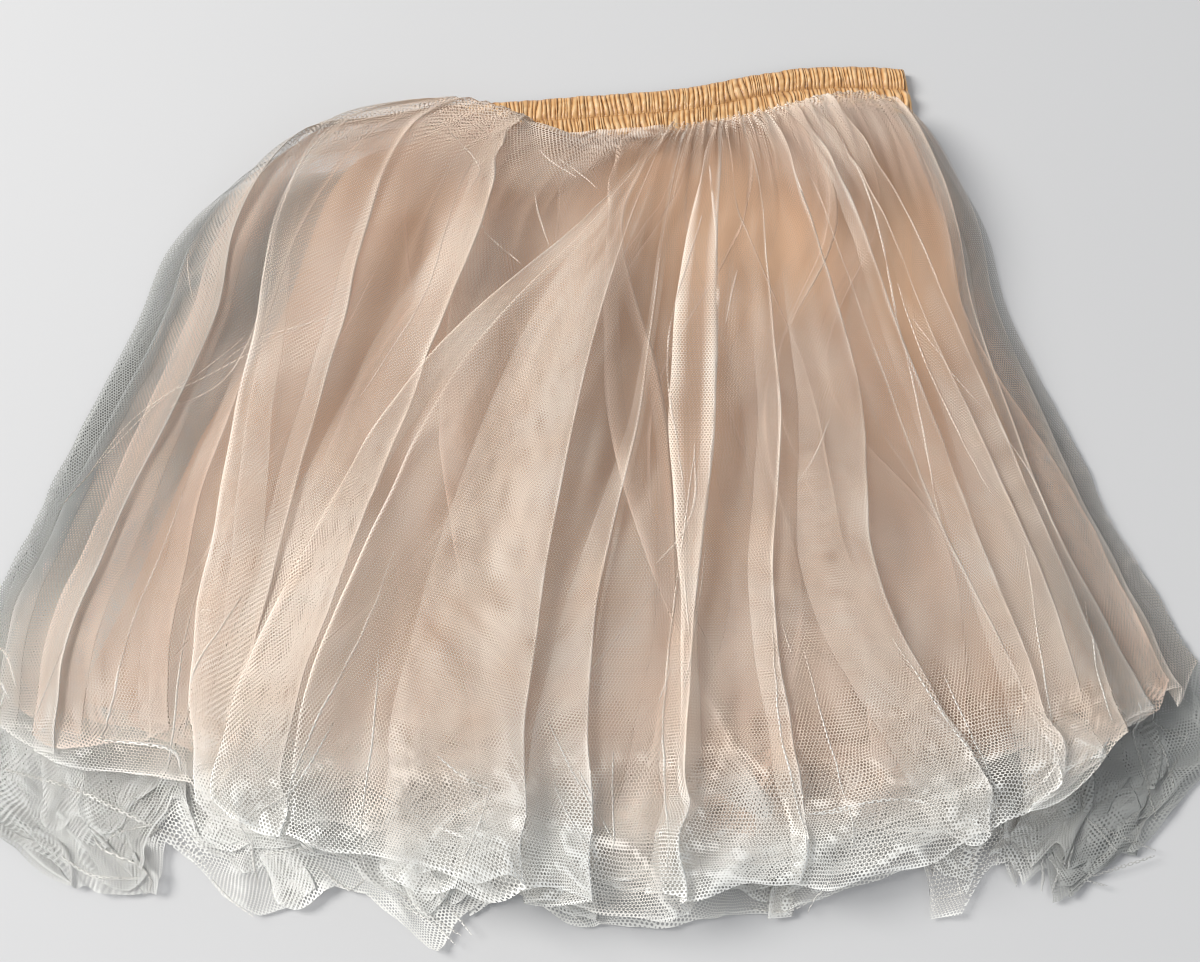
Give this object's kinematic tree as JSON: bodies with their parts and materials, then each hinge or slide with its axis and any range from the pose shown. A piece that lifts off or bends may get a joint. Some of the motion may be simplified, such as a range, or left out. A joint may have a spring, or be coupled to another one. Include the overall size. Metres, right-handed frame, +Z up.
{
  "type": "tulle skirt",
  "caption": "Short gathered tulle skirt with a shirred elastic waistband and a lining, laid out flat on its back.",
  "frame": {"origin": "middle of the laid-out skirt's footprint, on the surface it lies on", "axes": "+X across the skirt, to the right of someone who looks at its front with the waist away from them; +Y from the hem to the waist; +Z up from the surface"},
  "size_m": [0.6329, 0.5093, 0.0514],
  "materials": {
    "waistband_satin": "satin, finely gathered, gold-peach",
    "tulle": "open hexagonal net, ivory to pale peach",
    "lining_satin": "smooth plain weave, peach"
  },
  "bodies": {
    "root": {"waistband": "waistband_satin", "tulle_outer_front": "tulle", "tulle_outer_back": "tulle", "tulle_middle_front": "tulle", "tulle_middle_back": "tulle", "tulle_inner_front": "tulle", "tulle_inner_back": "tulle", "lining_front": "lining_satin", "lining_back": "lining_satin"}
  },
  "joints": []
}
